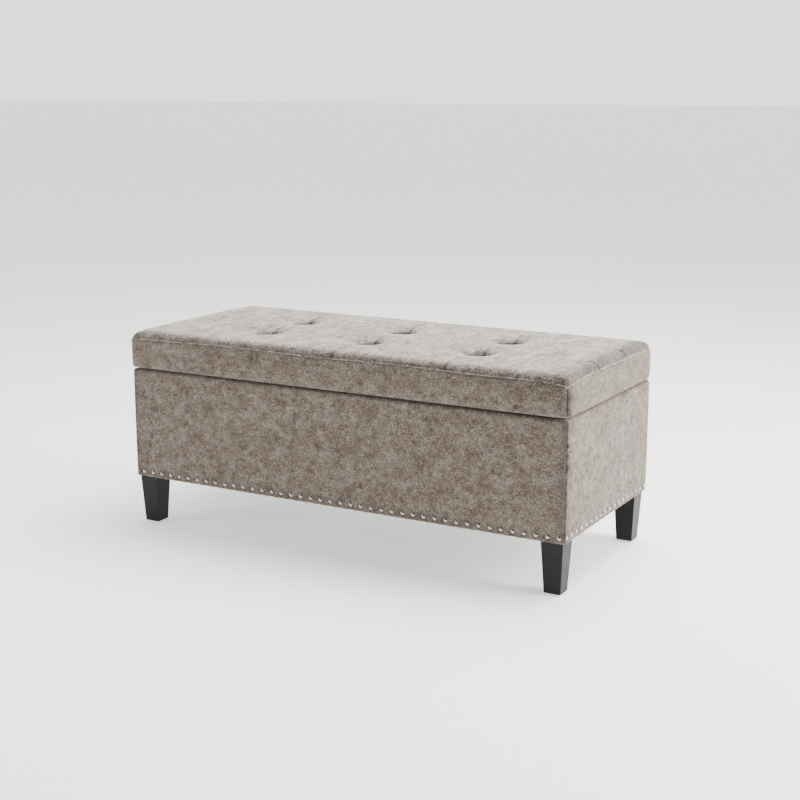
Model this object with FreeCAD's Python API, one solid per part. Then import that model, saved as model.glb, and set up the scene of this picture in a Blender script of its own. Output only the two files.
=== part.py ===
import FreeCAD, Part

import os

# An upholstered storage bench: a fabric-covered box on four tapered legs, under a hinged, tufted lid
# that two folding stays guide. The lid is shut. Sizes are in millimetres. The origin is on the floor
# under the middle of the bench, with +X along its length, +Y to the back and +Z up.

V = FreeCAD.Vector

# Overall sizes, over the fabric.
body_length = 1057.0
body_depth = 452.0
leg_height = 110.0  # floor to the underside of the box
body_height = 250.0
lid_overhang = 5.0  # how far the lid stands past the box on every side
lid_gap = 3.0  # box rim to lid underside, which the hinge leaves fill
boxing_height = 61.0  # lid underside to the seam of the top cover
crown_height = 22.0  # seam to the highest point of the cushion

# Layers of the box wall, from outside in.
cover_thickness = 2.0
wrap_thickness = 3.0
panel_thickness = 5.0
rail_thickness = 20.0
liner_thickness = 1.0

# Frame members.
bottom_rail_height = 42.0
top_rail_height = 45.0
hinge_rail_height = 60.0
post_width = 60.0
block_side = 62.0
stretcher_width = 40.0
board_thickness = 6.0
board_clearance = 0.5  # round the bottom board, at the panels and posts

# Fabric that is turned in and stapled.
bottom_turn_in = 58.0
rim_flap_height = 18.0
dust_cover_thickness = 0.8
dust_cover_inset = 14.0
dust_cover_notch = 56.0  # corner cut-out, from the face of the box

# Lid.
lid_board_thickness = 15.0
lid_corner_radius = 20.0
lid_roll_radius = 18.0  # rounding of the cushion's top edge
lid_turn_in = 45.0
lid_lining_thickness = 0.6
lid_lining_inset = 32.0

# Tufts: a row of three along each third of the depth.
tuft_depth = 28.0
tuft_mouth_radius = 26.0
button_radius = 12.5
button_height = 7.0
button_clearance = 0.5
twine_radius = 1.2
twine_clearance = 0.3
knot_radius = 3.0
washer_radius = 10.0
washer_thickness = 1.6

# Legs.
leg_top_side = 48.0
leg_foot_side = 36.0
leg_inset = 4.0  # box face to the leg's outer face
glide_radius = 11.0
glide_thickness = 2.0
glide_nail_radius = 1.2
glide_nail_length = 14.0
bolt_radius = 4.0
bolt_depth = 35.0  # bolt in the leg
bolt_clearance = 0.2
nut_barrel_radius = 5.0
nut_barrel_length = 12.0
nut_flange_radius = 10.5
nut_flange_thickness = 1.5
nut_counterbore = 4.0

# Dome nails.
nail_head_radius = 5.25
nail_head_height = 3.2
nail_shank_radius = 0.8
nail_shank_length = 9.5
nail_line = 12.0  # bottom edge of the box to the middle of a nail
front_nail_pitch = 25.05
front_nail_start = 19.5
end_nail_pitch = 25.6
end_nail_start = 10.0

# Butt hinges.
knuckle_radius = 2.6
knuckle_count = 5
pin_radius = 1.3
pin_clearance = 0.05
hinge_length = 70.0
hinge_offset = 330.0  # middle of the bench to the middle of a hinge
leaf_width = 25.0
leaf_clearance = 0.6  # between the two leaves of the shut hinge
knuckle_gap = 0.3  # between neighbouring knuckles, and inside the lid's back face
knuckle_room = 0.5  # between a knuckle and what is notched round it
hinge_screw_spacing = 24.0
hinge_screw_line = 17.0  # hinge axis to its screws

# Countersunk screws.
screw_radius = 1.6
screw_head_radius = 3.2
screw_head_depth = 1.2
screw_length = 14.0
screw_clearance = 0.15

# Folding stays. Forward of the hinge axis, then above it. The two arms and the two lines from the
# hinge axis to the fixed pivots are a parallelogram, so the elbow closes at every lid angle.
box_pivot_forward = 46.5
box_pivot_above = -78.0
lid_pivot_forward = 167.1
lid_pivot_above = -12.0
stay_thickness = 2.0
stay_gap = 0.5  # between one stay plate and the next
arm_half_width = 7.0
rivet_radius = 3.0
rivet_head_radius = 5.5
rivet_head_height = 1.2
rivet_clearance = 0.1
rivet_side_play = 0.2
elbow_clearance = 0.3
bracket_half_width = 11.0
lid_bracket_half_width = 12.0
lid_flange_half_length = 22.0
lid_flange_width = 18.0
bracket_screw_drops = (12.0, 35.0)  # rim of the box down to each screw
bracket_end = 9.0  # box pivot to the bracket's lower edge
lid_bracket_end = 8.0
lid_bracket_screw = 15.0  # lid pivot to each flange screw, along the flange

# Rim bumpers.
bumper_radius = 6.0
bumper_clearance = 0.3  # bumper to the shut lid
rim_line = 16.0  # box face to the bumpers' line
end_bumper_y = -60.0

# Levels.
box_bottom = leg_height
frame_bottom = box_bottom + cover_thickness
box_top = leg_height + body_height
frame_top = box_top - cover_thickness
rails_top = frame_bottom + bottom_rail_height
board_top = rails_top + board_thickness
flap_bottom = frame_top - rim_flap_height
lid_bottom = box_top + lid_gap
lid_board_bottom = lid_bottom + cover_thickness
lid_board_top = lid_board_bottom + lid_board_thickness
seam_height = lid_bottom + boxing_height
lid_top = seam_height + crown_height

# Half sizes of the box's layers. Each layer is a rectangle inside the last.
cover_x = body_length / 2
cover_y = body_depth / 2
wrap_x = cover_x - cover_thickness
wrap_y = cover_y - cover_thickness
panel_x = wrap_x - wrap_thickness
panel_y = wrap_y - wrap_thickness
rail_x = panel_x - panel_thickness
rail_y = panel_y - panel_thickness
inner_x = rail_x - rail_thickness
inner_y = rail_y - rail_thickness
flap_x = inner_x - cover_thickness
flap_y = inner_y - cover_thickness
post_y = rail_y - post_width
block_x = rail_x - block_side
block_y = rail_y - block_side
lid_x = cover_x + lid_overhang
lid_y = cover_y + lid_overhang

# Hinge axis, just inside the lid's back face, midway up the gap.
axis_y = lid_y - knuckle_radius - knuckle_gap / 2
axis_z = box_top + lid_gap / 2
leaf_thickness = (lid_gap - leaf_clearance) / 2


def block(x, y, z):
    """Box between the low and high value of each pair."""
    return Part.makeBox(x[1] - x[0], y[1] - y[0], z[1] - z[0], V(x[0], y[0], z[0]))


def slab(half_x, half_y, z):
    """Box centred on the Z axis."""
    return block((-half_x, half_x), (-half_y, half_y), z)


def rod(radius, start, end):
    """Cylinder from one point to another."""
    way = end - start
    return Part.makeCylinder(radius, way.Length, start, way)


def joined(first, *others):
    """One solid from pieces that touch or overlap."""
    return first.fuse(list(others)).removeSplitter()


def mirrored_x(shape):
    """The left-hand copy of a right-hand piece."""
    return shape.mirror(V(0, 0, 0), V(1, 0, 0))


def mirrored_y(shape):
    """The back copy of a front piece."""
    return shape.mirror(V(0, 0, 0), V(0, 1, 0))


def four_corners(shape):
    """A piece at the front right corner, and its copies at the other three."""
    back = mirrored_y(shape)
    return [shape, mirrored_x(shape), back, mirrored_x(back)]


def export(name, solids):
    """Writes one node: a solid, or a list of like solids."""
    shape = Part.makeCompound(solids) if isinstance(solids, list) else solids
    shape.exportStep(f"parts/{name}.step")


def export_pair(name, right):
    """Writes a right-hand node and its left-hand copy."""
    export(f"right_{name}", right)
    export(f"left_{name}", mirrored_x(right))


def countersunk_screw(seat, way):
    """Screw whose head's flat face is at seat, driven along way."""
    head = Part.makeCone(screw_head_radius, screw_radius, screw_head_depth, seat, way)
    return head.fuse(rod(screw_radius, seat, seat + way * screw_length))


def screw_hole(seat, way, depth):
    """Countersunk hole for that screw, through a plate of this depth."""
    mouth = screw_head_radius + screw_clearance
    bore = screw_radius + screw_clearance
    cone = Part.makeCone(mouth, bore, screw_head_depth, seat, way)
    return cone.fuse(rod(bore, seat, seat + way * depth))


def make_panels():
    """Ply skins: the front and back ones cover the ends of the end panels."""
    front = block((-panel_x, panel_x), (-panel_y, -rail_y), (frame_bottom, frame_top))
    right = block((rail_x, panel_x), (-rail_y, rail_y), (frame_bottom, frame_top))
    export("front_panel", front)
    export("back_panel", mirrored_y(front))
    export_pair("end_panel", right)


def make_frame():
    """Rails, posts and blocks that the panels are stapled to."""
    low = (frame_bottom, rails_top)
    high = (frame_top - top_rail_height, frame_top)
    hinge_high = (frame_top - hinge_rail_height, frame_top)
    export("front_top_rail", block((-inner_x, inner_x), (-rail_y, -inner_y), high))
    export("hinge_rail", block((-inner_x, inner_x), (inner_y, rail_y), hinge_high))
    export_pair("top_rail", block((inner_x, rail_x), (-post_y, post_y), high))
    front_low = block((-block_x, block_x), (-rail_y, -inner_y), low)
    export("front_bottom_rail", front_low)
    export("back_bottom_rail", mirrored_y(front_low))
    end_low = block((inner_x, rail_x), (-block_y, block_y), low)
    export("end_bottom_rails", [end_low, mirrored_x(end_low)])
    half_width = stretcher_width / 2
    export("center_stretcher", block((-half_width, half_width), (-inner_y, inner_y), low))
    post = block((inner_x, rail_x), (-rail_y, -post_y), (rails_top, frame_top))
    export("corner_posts", four_corners(post))


def leg_axis():
    """Plan position of the front right leg's centre line."""
    inset = leg_inset + leg_top_side / 2
    return V(cover_x - inset, -(cover_y - inset), 0)


def make_leg_blocks():
    """Blocks in the bottom corners, bored for the legs' tee nuts."""
    at = leg_axis()
    nut_seat = rails_top - nut_counterbore
    solid = block((block_x, rail_x), (-rail_y, -block_y), (frame_bottom, rails_top))
    bore = rod(nut_barrel_radius + bolt_clearance, at + V(0, 0, frame_bottom), at + V(0, 0, nut_seat))
    wide = rod(nut_flange_radius + bolt_clearance, at + V(0, 0, nut_seat), at + V(0, 0, rails_top))
    export("leg_blocks", four_corners(solid.cut(bore.fuse(wide))))

    barrel = rod(nut_barrel_radius, at + V(0, 0, nut_seat - nut_barrel_length), at + V(0, 0, nut_seat))
    flange_top = at + V(0, 0, nut_seat + nut_flange_thickness)
    flange = rod(nut_flange_radius, at + V(0, 0, nut_seat), flange_top)
    thread = rod(bolt_radius + bolt_clearance, at + V(0, 0, frame_bottom), at + V(0, 0, rails_top))
    export("leg_tee_nuts", four_corners(joined(barrel, flange).cut(thread)))


def make_bottom_board():
    """Floor of the box, on the bottom rails, notched round the posts."""
    board = slab(rail_x - board_clearance, rail_y - board_clearance, (rails_top, board_top))
    notch_x = inner_x - board_clearance
    notch_y = post_y - board_clearance
    notch = block((notch_x, rail_x), (-rail_y, -notch_y), (rails_top, board_top))
    export("bottom_board", board.cut(four_corners(notch)))


def make_legs():
    """Square legs that taper towards the floor, each with a hanger bolt and a nailed glide."""
    at = leg_axis()

    def square(side, height):
        half = side / 2
        corners = [V(-half, -half, 0), V(half, -half, 0), V(half, half, 0), V(-half, half, 0)]
        points = [at + corner + V(0, 0, height) for corner in corners]
        return Part.makePolygon(points + points[:1])

    rings = [square(leg_foot_side, glide_thickness), square(leg_top_side, leg_height)]
    leg = Part.makeLoft(rings, True, True)
    bolt_low = at + V(0, 0, leg_height - bolt_depth)
    leg = leg.cut(rod(bolt_radius + bolt_clearance, bolt_low, at + V(0, 0, leg_height)))
    nail_top = at + V(0, 0, glide_thickness + glide_nail_length)
    leg = leg.cut(rod(glide_nail_radius, at, nail_top))
    names = ["front_right_leg", "front_left_leg", "rear_right_leg", "rear_left_leg"]
    for name, solid in zip(names, four_corners(leg)):
        export(name, solid)

    bolt_top = at + V(0, 0, rails_top - nut_counterbore)
    export("leg_bolts", four_corners(rod(bolt_radius, bolt_low, bolt_top)))
    pad = rod(glide_radius, at, at + V(0, 0, glide_thickness))
    export("foot_glides", four_corners(joined(pad, rod(glide_nail_radius, at, nail_top))))


def make_padding_wrap():
    """One thin sheet of wadding round the four panels."""
    outer = slab(wrap_x, wrap_y, (frame_bottom, frame_top))
    export("padding_wrap", outer.cut(slab(panel_x, panel_y, (frame_bottom, frame_top))))


def hinge_room():
    """Space round each knuckle, cut out of the fabric beside it."""
    half = hinge_length / 2 + knuckle_room
    start = V(hinge_offset - half, axis_y, axis_z)
    right = rod(knuckle_radius + knuckle_room, start, start + V(2 * half, 0, 0))
    return [right, mirrored_x(right)]


def make_covers():
    """Fabric: over each wall, in under the base, over the rim and down inside it."""
    bolt = rod(bolt_radius + bolt_clearance, leg_axis(), leg_axis() + V(0, 0, rails_top))
    bolts = four_corners(bolt)
    bottom = (box_bottom, frame_bottom)
    rim = (frame_top, box_top)
    flap = (flap_bottom, frame_top)
    turn_y = cover_y - bottom_turn_in
    turn_x = cover_x - bottom_turn_in

    sheet = block((-cover_x, cover_x), (-cover_y, -wrap_y), (box_bottom, box_top))
    under = block((-wrap_x, wrap_x), (-cover_y, -turn_y), bottom)
    over = block((-wrap_x, wrap_x), (-cover_y, -flap_y), rim)
    inside = block((-inner_x, inner_x), (-inner_y, -flap_y), flap)
    front = joined(sheet, under, over, inside).cut(bolts)
    export("front_cover", front)
    export("back_cover", mirrored_y(front).cut(hinge_room()))

    sheet = block((wrap_x, cover_x), (-wrap_y, wrap_y), (box_bottom, box_top))
    under = block((turn_x, cover_x), (-turn_y, turn_y), bottom)
    over = block((flap_x, cover_x), (-flap_y, flap_y), rim)
    inside = block((flap_x, inner_x), (-flap_y, flap_y), flap)
    export_pair("end_cover", joined(sheet, under, over, inside))


def make_linings():
    """Sewn liner of the storage space, and the dust cover under the base."""
    outer = slab(inner_x, inner_y, (board_top, flap_bottom))
    liner_x = inner_x - liner_thickness
    liner_y = inner_y - liner_thickness
    space = slab(liner_x, liner_y, (board_top + liner_thickness, flap_bottom))
    export("storage_liner", outer.cut(space))

    level = (box_bottom - dust_cover_thickness, box_bottom)
    sheet = slab(cover_x - dust_cover_inset, cover_y - dust_cover_inset, level)
    notch_x = cover_x - dust_cover_notch
    notch_y = cover_y - dust_cover_notch
    notch = block((notch_x, cover_x), (-cover_y, -notch_y), level)
    export("dust_cover", sheet.cut(four_corners(notch)))


def make_nail_trim():
    """Rows of dome nails: along the front, and along each end."""
    dome_radius = (nail_head_radius**2 + nail_head_height**2) / (2 * nail_head_height)
    dome = Part.makeSphere(dome_radius, V(0, dome_radius - nail_head_height, 0))
    keep = rod(nail_head_radius, V(0, -nail_head_height, 0), V(0, 0, 0))
    nail = joined(dome.common(keep), rod(nail_shank_radius, V(0, 0, 0), V(0, nail_shank_length, 0)))
    height = box_bottom + nail_line

    count = int((body_length - front_nail_start) // front_nail_pitch) + 1
    front = []
    for i in range(count):
        x = -cover_x + front_nail_start + i * front_nail_pitch
        front.append(nail.translated(V(x, -cover_y, height)))
    export("front_nail_trim", front)

    side_nail = nail.copy()
    side_nail.rotate(V(0, 0, 0), V(0, 0, 1), 90)
    count = int((body_depth - end_nail_start - nail_head_radius) // end_nail_pitch) + 1
    right = []
    for i in range(count):
        y = -cover_y + end_nail_start + i * end_nail_pitch
        right.append(side_nail.translated(V(cover_x, y, height)))
    export("right_nail_trim", right)
    export("left_nail_trim", [mirrored_x(one) for one in right])


def make_bumpers():
    """Felt discs on the rim that the shut lid rests on."""
    top = lid_bottom - bumper_clearance
    front_y = -(cover_y - rim_line)
    places = [(i * body_length / 5, front_y) for i in (-2, -0.7, 0.7, 2)]
    places += [(side * (cover_x - rim_line), end_bumper_y) for side in (-1, 1)]
    export("rim_bumpers", [rod(bumper_radius, V(x, y, box_top), V(x, y, top)) for x, y in places])


def rounded_block(half_x, half_y, z, corner_radius, roll_radius):
    """Block with rounded upright edges and a rolled top edge."""
    shape = slab(half_x, half_y, z)
    upright = [e for e in shape.Edges if e.BoundBox.ZLength > (z[1] - z[0]) / 2]
    shape = shape.makeFillet(corner_radius, upright)
    if roll_radius:
        top = [e for e in shape.Edges if e.BoundBox.ZMin > z[1] - roll_radius / 2]
        shape = shape.makeFillet(roll_radius, top)
    return shape


def tuft_places():
    """Plan positions of the buttons."""
    columns = [i * body_length / 4 for i in (-1, 0, 1)]
    rows = [-body_depth / 6, body_depth / 6]
    return [(x, y) for y in rows for x in columns]


def tuft_cone(x, y, extra):
    """Cone of one tuft's hollow, or with extra, of the fabric round it."""
    low = lid_top - tuft_depth - extra
    high = lid_top + 1.0
    foot = button_radius + button_clearance + extra
    slope = (tuft_mouth_radius - button_radius - button_clearance) / tuft_depth
    return Part.makeCone(foot, foot + slope * (high - low), high - low, V(x, y, low))


def make_lid_soft_parts():
    """Foam pad, and the fabric round it: a top cover above the seam and a boxing band below."""
    t = cover_thickness
    wall = cover_thickness + wrap_thickness
    whole = rounded_block(lid_x, lid_y, (lid_bottom, lid_top), lid_corner_radius, lid_roll_radius)
    foam_z = (lid_board_bottom, lid_top - t)
    filling = rounded_block(lid_x - t, lid_y - t, foam_z, lid_corner_radius - t, lid_roll_radius - t)
    board_z = (lid_board_bottom, lid_board_top)
    board = rounded_block(lid_x - wall, lid_y - wall, board_z, lid_corner_radius - wall, 0)

    places = tuft_places()
    hollows = [tuft_cone(x, y, 0) for x, y in places]
    lined_hollows = [tuft_cone(x, y, t) for x, y in places]
    hole = twine_radius + twine_clearance
    twine_holes = [rod(hole, V(x, y, lid_bottom), V(x, y, lid_top)) for x, y in places]

    export("lid_board", board.cut(twine_holes))
    export("lid_foam", filling.cut([board] + lined_hollows + twine_holes))

    shell = whole.cut(filling)
    room = hinge_room()
    above = slab(lid_x, lid_y, (seam_height, lid_top))
    below = slab(lid_x, lid_y, (lid_bottom, seam_height))
    cones = [cone.common(whole) for cone in lined_hollows]
    top_cover = joined(shell.common(above), *cones).cut(hollows + twine_holes)
    export("lid_top_cover", top_cover)
    window = slab(lid_x - lid_turn_in, lid_y - lid_turn_in, (lid_bottom, lid_board_bottom))
    export("lid_boxing", shell.common(below).cut([window] + room))

    inset = lid_lining_inset
    lining_z = (lid_bottom - lid_lining_thickness, lid_bottom)
    export("lid_lining", slab(lid_x - inset, lid_y - inset, lining_z))


def make_tufts():
    """Covered buttons, each pulled down by a twine that is tied through a washer under the board."""
    dome_radius = (button_radius**2 + button_height**2 / 4) / button_height
    floor = lid_top - tuft_depth
    washer_low = lid_board_bottom - washer_thickness
    buttons = []
    twines = []
    washers = []
    for x, y in tuft_places():
        disc = rod(button_radius, V(x, y, floor), V(x, y, floor + button_height))
        ball = Part.makeSphere(dome_radius, V(x, y, floor + button_height - dome_radius))
        buttons.append(disc.common(ball))
        line = rod(twine_radius, V(x, y, washer_low), V(x, y, floor))
        knot = rod(knot_radius, V(x, y, lid_bottom), V(x, y, washer_low))
        twines.append(joined(line, knot))
        washer = rod(washer_radius, V(x, y, washer_low), V(x, y, lid_board_bottom))
        washers.append(washer.cut(rod(twine_radius + twine_clearance, V(x, y, 0), V(x, y, lid_top))))
    export("tuft_buttons", buttons)
    export("tuft_twines", twines)
    export("tuft_washers", washers)


def hinge_screw_seats(height):
    """Where one hinge leaf's screw heads are, at this height."""
    y = axis_y - hinge_screw_line
    return [V(hinge_offset + i * hinge_screw_spacing, y, height) for i in (-1, 0, 1)]


def hinge_leaf(turns, z, screw_seats, screw_way):
    """Flat leaf between two heights, with its own knuckles rolled round the pin."""
    pitch = hinge_length / knuckle_count
    first = hinge_offset - hinge_length / 2
    back = axis_y - knuckle_radius - knuckle_room
    leaf = block((first, first + hinge_length), (axis_y - leaf_width, back), z)
    for i in turns:
        low = first + i * pitch + knuckle_gap / 2
        high = first + (i + 1) * pitch - knuckle_gap / 2
        barrel = rod(knuckle_radius, V(low, axis_y, axis_z), V(high, axis_y, axis_z))
        leaf = joined(leaf, barrel, block((low, high), (back, axis_y), z))
    start = V(first - 1, axis_y, axis_z)
    leaf = leaf.cut(rod(pin_radius + pin_clearance, start, start + V(hinge_length + 2, 0, 0)))
    return leaf.cut([screw_hole(seat, screw_way, leaf_thickness) for seat in screw_seats])


def make_hinges():
    """Two butt hinges between the box rim and the lid's underside."""
    up = V(0, 0, 1)
    down = V(0, 0, -1)
    box_seats = hinge_screw_seats(box_top + leaf_thickness)
    lid_seats = hinge_screw_seats(lid_bottom - leaf_thickness)
    box_z = (box_top, box_top + leaf_thickness)
    lid_z = (lid_bottom - leaf_thickness, lid_bottom)
    export_pair("hinge_box_leaf", hinge_leaf((0, 2, 4), box_z, box_seats, down))
    export_pair("hinge_lid_leaf", hinge_leaf((1, 3), lid_z, lid_seats, up))
    start = V(hinge_offset - hinge_length / 2, axis_y, axis_z)
    pin = rod(pin_radius, start, start + V(hinge_length, 0, 0))
    export("hinge_pins", [pin, mirrored_x(pin)])
    box_screws = [countersunk_screw(seat, down) for seat in box_seats]
    lid_screws = [countersunk_screw(seat, up) for seat in lid_seats]
    return box_screws, lid_screws


def arm(start, end, x, end_clearance):
    """Flat bar between two pivots, with a round end and a hole at each."""
    thick = V(x[1] - x[0], 0, 0)
    along = (end - start).normalize()
    across = along.cross(V(1, 0, 0)) * arm_half_width
    plan = [start + across, end + across, end - across, start - across]
    points = [V(x[0], p.y, p.z) for p in plan]
    bar = Part.Face(Part.makePolygon(points + points[:1])).extrude(thick)
    low_end = V(x[0], start.y, start.z)
    high_end = V(x[0], end.y, end.z)
    bar = joined(
        bar,
        rod(arm_half_width, low_end, low_end + thick),
        rod(arm_half_width, high_end, high_end + thick),
    )
    fixed_hole = rod(rivet_radius + rivet_clearance, low_end, low_end + thick)
    elbow_hole = rod(rivet_radius + end_clearance, high_end, high_end + thick)
    return bar.cut([fixed_hole, elbow_hole])


def rivet(centre, shank_x, inner_head_x, outer_head):
    """Rivet along X, with a head on its inner end and, if wanted, on its outer end."""

    def at(x):
        return V(x, centre.y, centre.z)

    solid = joined(
        rod(rivet_radius, at(shank_x[0]), at(shank_x[1])),
        rod(rivet_head_radius, at(inner_head_x - rivet_head_height), at(inner_head_x)),
    )
    if outer_head:
        far = shank_x[1]
        solid = joined(solid, rod(rivet_head_radius, at(far), at(far + rivet_head_height)))
    return solid


def make_stays():
    """Folding stays against both end walls. Four plates lie side by side, from the wall inwards."""
    step = stay_thickness + stay_gap
    planes = [(flap_x - i * step - stay_thickness, flap_x - i * step) for i in range(4)]
    bracket_x, lower_x, upper_x, ear_x = planes
    box_pivot = V(0, axis_y - box_pivot_forward, axis_z + box_pivot_above)
    lid_pivot = V(0, axis_y - lid_pivot_forward, axis_z + lid_pivot_above)
    elbow = box_pivot + V(0, -lid_pivot_forward, lid_pivot_above)
    hole = rivet_radius + rivet_clearance
    lining_z = lid_bottom - lid_lining_thickness

    y = (box_pivot.y - bracket_half_width, box_pivot.y + bracket_half_width)
    z = (box_pivot.z - bracket_end, frame_top)
    plate = block(bracket_x, y, z)
    outward = V(1, 0, 0)
    box_seats = [V(bracket_x[0], box_pivot.y, box_top - drop) for drop in bracket_screw_drops]
    holes = [screw_hole(seat, outward, stay_thickness) for seat in box_seats]
    pivot_hole = rod(hole, V(bracket_x[0], *box_pivot[1:]), V(bracket_x[1], *box_pivot[1:]))
    export_pair("stay_box_bracket", plate.cut(holes + [pivot_hole]))

    y = (lid_pivot.y - lid_bracket_half_width, lid_pivot.y + lid_bracket_half_width)
    ear = block(ear_x, y, (lid_pivot.z - lid_bracket_end, lining_z))
    flange_y = (lid_pivot.y - lid_flange_half_length, lid_pivot.y + lid_flange_half_length)
    flange_x = (ear_x[1] - lid_flange_width, ear_x[1])
    flange_z = lining_z - stay_thickness
    flange = block(flange_x, flange_y, (flange_z, lining_z))
    up = V(0, 0, 1)
    screw_x = ear_x[0] - (lid_flange_width - stay_thickness) / 2
    offsets = (-lid_bracket_screw, lid_bracket_screw)
    lid_seats = [V(screw_x, lid_pivot.y + offset, flange_z) for offset in offsets]
    holes = [screw_hole(seat, up, stay_thickness) for seat in lid_seats]
    pivot_hole = rod(hole, V(ear_x[0], *lid_pivot[1:]), V(ear_x[1], *lid_pivot[1:]))
    export_pair("stay_lid_bracket", joined(ear, flange).cut(holes + [pivot_hole]))

    export_pair("stay_lower_arm", arm(box_pivot, elbow, lower_x, rivet_clearance))
    export_pair("stay_upper_arm", arm(lid_pivot, elbow, upper_x, elbow_clearance))

    play = rivet_side_play
    box_rivet = rivet(box_pivot, (lower_x[0] - play, bracket_x[1]), lower_x[0] - play, False)
    export("box_stay_rivets", [box_rivet, mirrored_x(box_rivet)])
    lid_rivet = rivet(lid_pivot, (ear_x[0], upper_x[1] + play), ear_x[0], True)
    export("lid_stay_rivets", [lid_rivet, mirrored_x(lid_rivet)])
    elbow_head = upper_x[0] - elbow_clearance
    export_pair("elbow_rivet", rivet(elbow, (elbow_head, lower_x[1]), elbow_head, True))

    box_screws = [countersunk_screw(seat, outward) for seat in box_seats]
    lid_screws = [countersunk_screw(seat, up) for seat in lid_seats]
    return box_screws, lid_screws


def both_sides(solids):
    """Right-hand pieces and their left-hand copies."""
    return solids + [mirrored_x(solid) for solid in solids]


os.makedirs("parts", exist_ok=True)
make_panels()
make_frame()
make_leg_blocks()
make_bottom_board()
make_legs()
make_padding_wrap()
make_covers()
make_linings()
make_nail_trim()
make_bumpers()
make_lid_soft_parts()
make_tufts()
hinge_box_screws, hinge_lid_screws = make_hinges()
stay_box_screws, stay_lid_screws = make_stays()
export("box_screws", both_sides(hinge_box_screws + stay_box_screws))
export("lid_screws", both_sides(hinge_lid_screws + stay_lid_screws))
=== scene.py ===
import math
import random

import bmesh
import bpy
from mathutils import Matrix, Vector, noise


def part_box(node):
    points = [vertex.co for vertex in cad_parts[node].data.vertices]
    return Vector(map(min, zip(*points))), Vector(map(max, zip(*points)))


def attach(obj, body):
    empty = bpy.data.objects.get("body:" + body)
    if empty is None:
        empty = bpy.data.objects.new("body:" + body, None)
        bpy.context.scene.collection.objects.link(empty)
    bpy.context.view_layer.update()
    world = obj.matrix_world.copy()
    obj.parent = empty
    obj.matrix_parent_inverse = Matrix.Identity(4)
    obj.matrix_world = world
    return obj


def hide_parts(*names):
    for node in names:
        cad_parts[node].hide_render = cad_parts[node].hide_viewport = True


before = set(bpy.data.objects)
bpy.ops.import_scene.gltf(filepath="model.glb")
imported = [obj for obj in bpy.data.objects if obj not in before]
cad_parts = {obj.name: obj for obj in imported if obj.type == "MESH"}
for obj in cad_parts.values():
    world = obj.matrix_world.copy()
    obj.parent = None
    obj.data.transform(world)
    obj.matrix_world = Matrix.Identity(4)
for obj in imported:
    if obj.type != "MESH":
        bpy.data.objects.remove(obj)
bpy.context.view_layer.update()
MM = 0.001


# ---------------------------------------------------------------------------------------------
# Studio: a pale seamless floor that glows a little, as a light table does, and a camera to the
# right of the bench and just above it. Soft boxes hang overhead, to the right and low at front left.
def srgb(code):
    """Linear colour from an sRGB hex value."""
    values = [int(code[i : i + 2], 16) / 255 for i in (1, 3, 5)]
    return [v / 12.92 if v <= 0.04045 else ((v + 0.055) / 1.055) ** 2.4 for v in values] + [1]


def node(tree, kind, inputs=None, **settings):
    """Adds a shader node, with its settings, and its inputs as values or as links."""
    made = tree.nodes.new(kind)
    for name, value in settings.items():
        setattr(made, name, value)
    for name, value in (inputs or {}).items():
        if isinstance(value, bpy.types.NodeSocket):
            tree.links.new(value, made.inputs[name])
        else:
            made.inputs[name].default_value = value
    return made


def new_material(name):
    """An empty material, its node tree and its principled shader."""
    made = bpy.data.materials.new(name)
    made.use_nodes = True
    return made, made.node_tree, made.node_tree.nodes["Principled BSDF"]


def new_object(name, form, material=None):
    """A smooth-shaded piece at the origin, made from a bmesh, which is freed."""
    mesh = bpy.data.meshes.new(name)
    form.to_mesh(mesh)
    form.free()
    mesh.shade_smooth()
    piece = bpy.data.objects.new(name, mesh)
    bpy.context.scene.collection.objects.link(piece)
    if material:
        mesh.materials.append(material)
    return piece


# Matt floor paint, lit a little from beneath: nearly white, with no gloss.
floor_material, tree, shader = new_material("floor_paint_pale")
shader.inputs["Base Color"].default_value = srgb("#F2F1EF")
shader.inputs["Roughness"].default_value = 0.9
shader.inputs["Emission Color"].default_value = srgb("#FFFFFF")
shader.inputs["Emission Strength"].default_value = 0.8
form = bmesh.new()
bmesh.ops.create_grid(form, x_segments=1, y_segments=1, size=60)
floor = new_object("floor", form, floor_material)

camera_data = bpy.data.cameras.new("camera")
camera_data.lens = 65.0
camera_data.sensor_width = 36
camera = bpy.data.objects.new("camera", camera_data)
camera.location = (1.568, -2.724, 0.991)
camera.rotation_euler = (math.radians(90 - 12.4), 0, math.radians(29.38))
bpy.context.scene.collection.objects.link(camera)
bpy.context.scene.camera = camera


def soft_box(name, place, aim, size, power):
    """Large square area light."""
    data = bpy.data.lights.new(name, "AREA")
    data.shape = "SQUARE"
    data.size = size
    data.energy = power
    light = bpy.data.objects.new(name, data)
    light.location = place
    light.rotation_euler = (Vector(aim) - Vector(place)).to_track_quat("-Z", "Y").to_euler()
    bpy.context.scene.collection.objects.link(light)


soft_box("overhead", (0.5, 0.9, 3.0), (0, 0, 0.3), 2.2, 210)
soft_box("right_key", (3.2, 0.6, 1.5), (0.4, 0, 0.3), 1.4, 165)
soft_box("front_fill", (-2.0, -1.5, 0.9), (-0.5, 0, 0.2), 0.8, 22)
world = bpy.data.worlds.new("studio")
world.use_nodes = True
tree = world.node_tree
way = node(tree, "ShaderNodeTexCoord").outputs["Generated"]
way_parts = node(tree, "ShaderNodeSeparateXYZ", {"Vector": way})
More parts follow.
